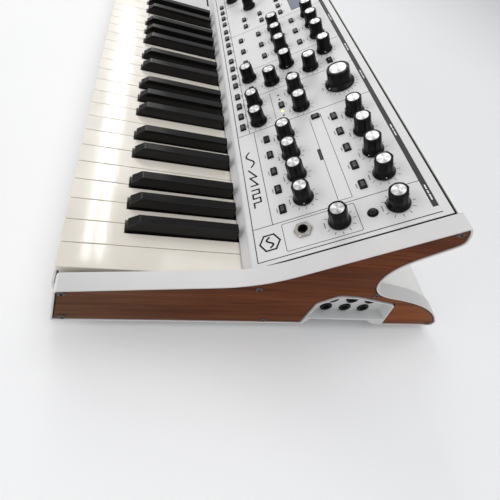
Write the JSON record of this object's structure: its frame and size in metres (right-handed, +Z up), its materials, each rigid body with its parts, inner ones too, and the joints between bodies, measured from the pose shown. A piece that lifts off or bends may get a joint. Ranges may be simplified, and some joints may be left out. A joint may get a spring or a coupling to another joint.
{
  "type": "synthesizer",
  "caption": "Keyboard synthesizer with a sloping control panel of knobs and buttons, a short keyboard, two wheels, wooden side panels and recessed side sockets.",
  "frame": {"origin": "centre of the footprint at the height of the rubber feet's undersides", "axes": "+X to the player's right, +Y to the back, +Z up"},
  "size_m": [0.681, 0.3808, 0.1692],
  "materials": {
    "end_frame_silver": "satin painted aluminium",
    "panel_silver": "satin silver",
    "pale_sheet": "satin",
    "dark_sheet": "satin",
    "grey_casting": "satin",
    "stained_wood": "oiled, horizontal grain",
    "ivory_key": "gloss",
    "ebony_key": "gloss",
    "black_controls": "satin",
    "display_glass": "clear, dark tint"
  },
  "bodies": {
    "case": {"right_end_frame": "end_frame_silver", "left_end_frame": "end_frame_silver", "right_wood_panel": "stained_wood", "left_wood_panel": "stained_wood", "right_jack_pod": "grey_casting", "left_jack_pod": "grey_casting", "base_tray": "dark_sheet", "rear_cover": "pale_sheet", "control_panel": "panel_silver", "display_window": "display_glass", "control_board": "black_controls", "keybed_frame": "dark_sheet", "performance_panel": "panel_silver"},
    "key_c_1": {"key_c_1": "ivory_key"},
    "key_c_sharp_1": {"key_c_sharp_1": "ebony_key"},
    "key_d_1": {"key_d_1": "ivory_key"},
    "key_d_sharp_1": {"key_d_sharp_1": "ebony_key"},
    "key_e_1": {"key_e_1": "ivory_key"},
    "key_f_1": {"key_f_1": "ivory_key"},
    "key_f_sharp_1": {"key_f_sharp_1": "ebony_key"},
    "key_g_1": {"key_g_1": "ivory_key"},
    "key_g_sharp_1": {"key_g_sharp_1": "ebony_key"},
    "key_a_1": {"key_a_1": "ivory_key"},
    "key_a_sharp_1": {"key_a_sharp_1": "ebony_key"},
    "key_b_1": {"key_b_1": "ivory_key"},
    "key_c_2": {"key_c_2": "ivory_key"},
    "key_c_sharp_2": {"key_c_sharp_2": "ebony_key"},
    "key_d_2": {"key_d_2": "ivory_key"},
    "key_d_sharp_2": {"key_d_sharp_2": "ebony_key"},
    "key_e_2": {"key_e_2": "ivory_key"},
    "key_f_2": {"key_f_2": "ivory_key"},
    "key_f_sharp_2": {"key_f_sharp_2": "ebony_key"},
    "key_g_2": {"key_g_2": "ivory_key"},
    "key_g_sharp_2": {"key_g_sharp_2": "ebony_key"},
    "key_a_2": {"key_a_2": "ivory_key"},
    "key_a_sharp_2": {"key_a_sharp_2": "ebony_key"},
    "key_b_2": {"key_b_2": "ivory_key"},
    "key_c_3": {"key_c_3": "ivory_key"},
    "key_c_sharp_3": {"key_c_sharp_3": "ebony_key"},
    "key_d_3": {"key_d_3": "ivory_key"},
    "key_d_sharp_3": {"key_d_sharp_3": "ebony_key"},
    "key_e_3": {"key_e_3": "ivory_key"},
    "key_f_3": {"key_f_3": "ivory_key"},
    "key_f_sharp_3": {"key_f_sharp_3": "ebony_key"},
    "key_g_3": {"key_g_3": "ivory_key"},
    "key_g_sharp_3": {"key_g_sharp_3": "ebony_key"},
    "key_a_3": {"key_a_3": "ivory_key"},
    "key_a_sharp_3": {"key_a_sharp_3": "ebony_key"},
    "key_b_3": {"key_b_3": "ivory_key"},
    "key_c_4": {"key_c_4": "ivory_key"},
    "cutoff_knob": {"cutoff_knob": "black_controls"},
    "master_volume_knob": {"master_volume_knob": "black_controls"},
    "headphone_volume_knob": {"headphone_volume_knob": "black_controls"},
    "value_knob": {"value_knob": "black_controls"},
    "mute_button": {"mute_button": "black_controls"},
    "octave_down_button": {"octave_down_button": "black_controls"},
    "octave_up_button": {"octave_up_button": "black_controls"},
    "pitch_wheel": {"pitch_wheel": "black_controls"},
    "modulation_wheel": {"modulation_wheel": "black_controls"},
    "power_rocker": {"power_rocker": "black_controls"}
  },
  "joints": [
    {"name": "key_c_1_press", "type": "hinge", "parent": "case", "child": "key_c_1", "pos_m": [-0.18525, -0.01355, 0.048], "axis": [1, 0, 0], "range_deg": [0, 3.3], "stiffness_Nm_per_rad": 0.8, "springref_deg": -5.73},
    {"name": "key_c_sharp_1_press", "type": "hinge", "parent": "case", "child": "key_c_sharp_1", "pos_m": [-0.1759, -0.01355, 0.048], "axis": [1, 0, 0], "range_deg": [0, 3.3], "stiffness_Nm_per_rad": 0.8, "springref_deg": -5.73},
    {"name": "key_d_1_press", "type": "hinge", "parent": "case", "child": "key_d_1", "pos_m": [-0.16175, -0.01355, 0.048], "axis": [1, 0, 0], "range_deg": [0, 3.3], "stiffness_Nm_per_rad": 0.8, "springref_deg": -5.73},
    {"name": "key_d_sharp_1_press", "type": "hinge", "parent": "case", "child": "key_d_sharp_1", "pos_m": [-0.1476, -0.01355, 0.048], "axis": [1, 0, 0], "range_deg": [0, 3.3], "stiffness_Nm_per_rad": 0.8, "springref_deg": -5.73},
    {"name": "key_e_1_press", "type": "hinge", "parent": "case", "child": "key_e_1", "pos_m": [-0.13825, -0.01355, 0.048], "axis": [1, 0, 0], "range_deg": [0, 3.3], "stiffness_Nm_per_rad": 0.8, "springref_deg": -5.73},
    {"name": "key_f_1_press", "type": "hinge", "parent": "case", "child": "key_f_1", "pos_m": [-0.11475, -0.01355, 0.048], "axis": [1, 0, 0], "range_deg": [0, 3.3], "stiffness_Nm_per_rad": 0.8, "springref_deg": -5.73},
    {"name": "key_f_sharp_1_press", "type": "hinge", "parent": "case", "child": "key_f_sharp_1", "pos_m": [-0.1062, -0.01355, 0.048], "axis": [1, 0, 0], "range_deg": [0, 3.3], "stiffness_Nm_per_rad": 0.8, "springref_deg": -5.73},
    {"name": "key_g_1_press", "type": "hinge", "parent": "case", "child": "key_g_1", "pos_m": [-0.09125, -0.01355, 0.048], "axis": [1, 0, 0], "range_deg": [0, 3.3], "stiffness_Nm_per_rad": 0.8, "springref_deg": -5.73},
    {"name": "key_g_sharp_1_press", "type": "hinge", "parent": "case", "child": "key_g_sharp_1", "pos_m": [-0.0795, -0.01355, 0.048], "axis": [1, 0, 0], "range_deg": [0, 3.3], "stiffness_Nm_per_rad": 0.8, "springref_deg": -5.73},
    {"name": "key_a_1_press", "type": "hinge", "parent": "case", "child": "key_a_1", "pos_m": [-0.06775, -0.01355, 0.048], "axis": [1, 0, 0], "range_deg": [0, 3.3], "stiffness_Nm_per_rad": 0.8, "springref_deg": -5.73},
    {"name": "key_a_sharp_1_press", "type": "hinge", "parent": "case", "child": "key_a_sharp_1", "pos_m": [-0.0528, -0.01355, 0.048], "axis": [1, 0, 0], "range_deg": [0, 3.3], "stiffness_Nm_per_rad": 0.8, "springref_deg": -5.73},
    {"name": "key_b_1_press", "type": "hinge", "parent": "case", "child": "key_b_1", "pos_m": [-0.04425, -0.01355, 0.048], "axis": [1, 0, 0], "range_deg": [0, 3.3], "stiffness_Nm_per_rad": 0.8, "springref_deg": -5.73},
    {"name": "key_c_2_press", "type": "hinge", "parent": "case", "child": "key_c_2", "pos_m": [-0.02075, -0.01355, 0.048], "axis": [1, 0, 0], "range_deg": [0, 3.3], "stiffness_Nm_per_rad": 0.8, "springref_deg": -5.73},
    {"name": "key_c_sharp_2_press", "type": "hinge", "parent": "case", "child": "key_c_sharp_2", "pos_m": [-0.0114, -0.01355, 0.048], "axis": [1, 0, 0], "range_deg": [0, 3.3], "stiffness_Nm_per_rad": 0.8, "springref_deg": -5.73},
    {"name": "key_d_2_press", "type": "hinge", "parent": "case", "child": "key_d_2", "pos_m": [0.00275, -0.01355, 0.048], "axis": [1, 0, 0], "range_deg": [0, 3.3], "stiffness_Nm_per_rad": 0.8, "springref_deg": -5.73},
    {"name": "key_d_sharp_2_press", "type": "hinge", "parent": "case", "child": "key_d_sharp_2", "pos_m": [0.0169, -0.01355, 0.048], "axis": [1, 0, 0], "range_deg": [0, 3.3], "stiffness_Nm_per_rad": 0.8, "springref_deg": -5.73},
    {"name": "key_e_2_press", "type": "hinge", "parent": "case", "child": "key_e_2", "pos_m": [0.02625, -0.01355, 0.048], "axis": [1, 0, 0], "range_deg": [0, 3.3], "stiffness_Nm_per_rad": 0.8, "springref_deg": -5.73},
    {"name": "key_f_2_press", "type": "hinge", "parent": "case", "child": "key_f_2", "pos_m": [0.04975, -0.01355, 0.048], "axis": [1, 0, 0], "range_deg": [0, 3.3], "stiffness_Nm_per_rad": 0.8, "springref_deg": -5.73},
    {"name": "key_f_sharp_2_press", "type": "hinge", "parent": "case", "child": "key_f_sharp_2", "pos_m": [0.0583, -0.01355, 0.048], "axis": [1, 0, 0], "range_deg": [0, 3.3], "stiffness_Nm_per_rad": 0.8, "springref_deg": -5.73},
    {"name": "key_g_2_press", "type": "hinge", "parent": "case", "child": "key_g_2", "pos_m": [0.07325, -0.01355, 0.048], "axis": [1, 0, 0], "range_deg": [0, 3.3], "stiffness_Nm_per_rad": 0.8, "springref_deg": -5.73},
    {"name": "key_g_sharp_2_press", "type": "hinge", "parent": "case", "child": "key_g_sharp_2", "pos_m": [0.085, -0.01355, 0.048], "axis": [1, 0, 0], "range_deg": [0, 3.3], "stiffness_Nm_per_rad": 0.8, "springref_deg": -5.73},
    {"name": "key_a_2_press", "type": "hinge", "parent": "case", "child": "key_a_2", "pos_m": [0.09675, -0.01355, 0.048], "axis": [1, 0, 0], "range_deg": [0, 3.3], "stiffness_Nm_per_rad": 0.8, "springref_deg": -5.73},
    {"name": "key_a_sharp_2_press", "type": "hinge", "parent": "case", "child": "key_a_sharp_2", "pos_m": [0.1117, -0.01355, 0.048], "axis": [1, 0, 0], "range_deg": [0, 3.3], "stiffness_Nm_per_rad": 0.8, "springref_deg": -5.73},
    {"name": "key_b_2_press", "type": "hinge", "parent": "case", "child": "key_b_2", "pos_m": [0.12025, -0.01355, 0.048], "axis": [1, 0, 0], "range_deg": [0, 3.3], "stiffness_Nm_per_rad": 0.8, "springref_deg": -5.73},
    {"name": "key_c_3_press", "type": "hinge", "parent": "case", "child": "key_c_3", "pos_m": [0.14375, -0.01355, 0.048], "axis": [1, 0, 0], "range_deg": [0, 3.3], "stiffness_Nm_per_rad": 0.8, "springref_deg": -5.73},
    {"name": "key_c_sharp_3_press", "type": "hinge", "parent": "case", "child": "key_c_sharp_3", "pos_m": [0.1531, -0.01355, 0.048], "axis": [1, 0, 0], "range_deg": [0, 3.3], "stiffness_Nm_per_rad": 0.8, "springref_deg": -5.73},
    {"name": "key_d_3_press", "type": "hinge", "parent": "case", "child": "key_d_3", "pos_m": [0.16725, -0.01355, 0.048], "axis": [1, 0, 0], "range_deg": [0, 3.3], "stiffness_Nm_per_rad": 0.8, "springref_deg": -5.73},
    {"name": "key_d_sharp_3_press", "type": "hinge", "parent": "case", "child": "key_d_sharp_3", "pos_m": [0.1814, -0.01355, 0.048], "axis": [1, 0, 0], "range_deg": [0, 3.3], "stiffness_Nm_per_rad": 0.8, "springref_deg": -5.73},
    {"name": "key_e_3_press", "type": "hinge", "parent": "case", "child": "key_e_3", "pos_m": [0.19075, -0.01355, 0.048], "axis": [1, 0, 0], "range_deg": [0, 3.3], "stiffness_Nm_per_rad": 0.8, "springref_deg": -5.73},
    {"name": "key_f_3_press", "type": "hinge", "parent": "case", "child": "key_f_3", "pos_m": [0.21425, -0.01355, 0.048], "axis": [1, 0, 0], "range_deg": [0, 3.3], "stiffness_Nm_per_rad": 0.8, "springref_deg": -5.73},
    {"name": "key_f_sharp_3_press", "type": "hinge", "parent": "case", "child": "key_f_sharp_3", "pos_m": [0.2228, -0.01355, 0.048], "axis": [1, 0, 0], "range_deg": [0, 3.3], "stiffness_Nm_per_rad": 0.8, "springref_deg": -5.73},
    {"name": "key_g_3_press", "type": "hinge", "parent": "case", "child": "key_g_3", "pos_m": [0.23775, -0.01355, 0.048], "axis": [1, 0, 0], "range_deg": [0, 3.3], "stiffness_Nm_per_rad": 0.8, "springref_deg": -5.73},
    {"name": "key_g_sharp_3_press", "type": "hinge", "parent": "case", "child": "key_g_sharp_3", "pos_m": [0.2495, -0.01355, 0.048], "axis": [1, 0, 0], "range_deg": [0, 3.3], "stiffness_Nm_per_rad": 0.8, "springref_deg": -5.73},
    {"name": "key_a_3_press", "type": "hinge", "parent": "case", "child": "key_a_3", "pos_m": [0.26125, -0.01355, 0.048], "axis": [1, 0, 0], "range_deg": [0, 3.3], "stiffness_Nm_per_rad": 0.8, "springref_deg": -5.73},
    {"name": "key_a_sharp_3_press", "type": "hinge", "parent": "case", "child": "key_a_sharp_3", "pos_m": [0.2762, -0.01355, 0.048], "axis": [1, 0, 0], "range_deg": [0, 3.3], "stiffness_Nm_per_rad": 0.8, "springref_deg": -5.73},
    {"name": "key_b_3_press", "type": "hinge", "parent": "case", "child": "key_b_3", "pos_m": [0.28475, -0.01355, 0.048], "axis": [1, 0, 0], "range_deg": [0, 3.3], "stiffness_Nm_per_rad": 0.8, "springref_deg": -5.73},
    {"name": "key_c_4_press", "type": "hinge", "parent": "case", "child": "key_c_4", "pos_m": [0.30825, -0.01355, 0.048], "axis": [1, 0, 0], "range_deg": [0, 3.3], "stiffness_Nm_per_rad": 0.8, "springref_deg": -5.73},
    {"name": "cutoff_turn", "type": "hinge", "parent": "case", "child": "cutoff_knob", "pos_m": [0.1216, 0.06746, 0.14576], "axis": [0, -0.575, 0.8181], "range_deg": [-150, 150]},
    {"name": "master_volume_turn", "type": "hinge", "parent": "case", "child": "master_volume_knob", "pos_m": [0.299, 0.06771, 0.14594], "axis": [0, -0.575, 0.8181], "range_deg": [-150, 150]},
    {"name": "headphone_volume_turn", "type": "hinge", "parent": "case", "child": "headphone_volume_knob", "pos_m": [0.299, 0.02893, 0.11868], "axis": [0, -0.575, 0.8181], "range_deg": [-150, 150]},
    {"name": "value_turn", "type": "hinge", "parent": "case", "child": "value_knob", "pos_m": [-0.138, 0.00962, 0.10511], "axis": [0, -0.575, 0.8181], "continuous": true},
    {"name": "mute_press", "type": "slide", "parent": "case", "child": "mute_button", "axis": [0, 0.575, -0.8181], "range_m": [0, 0.0015], "stiffness_N_per_m": 400, "springref_m": -0.002},
    {"name": "octave_down_press", "type": "slide", "parent": "case", "child": "octave_down_button", "axis": [0, 0, -1], "range_m": [0, 0.0015], "stiffness_N_per_m": 400, "springref_m": -0.002},
    {"name": "octave_up_press", "type": "slide", "parent": "case", "child": "octave_up_button", "axis": [0, 0, -1], "range_m": [0, 0.0015], "stiffness_N_per_m": 400, "springref_m": -0.002},
    {"name": "pitch_wheel_roll", "type": "hinge", "parent": "case", "child": "pitch_wheel", "pos_m": [-0.292, -0.10355, 0.045], "axis": [1, 0, 0], "range_deg": [-40, 40], "stiffness_Nm_per_rad": 0.12},
    {"name": "modulation_wheel_roll", "type": "hinge", "parent": "case", "child": "modulation_wheel", "pos_m": [-0.254, -0.10355, 0.045], "axis": [1, 0, 0], "range_deg": [-40, 40]},
    {"name": "power_rocker_rock", "type": "hinge", "parent": "case", "child": "power_rocker", "pos_m": [-0.328, 0.07095, 0.041], "axis": [0, -1, 0], "range_deg": [0, 14]}
  ]
}
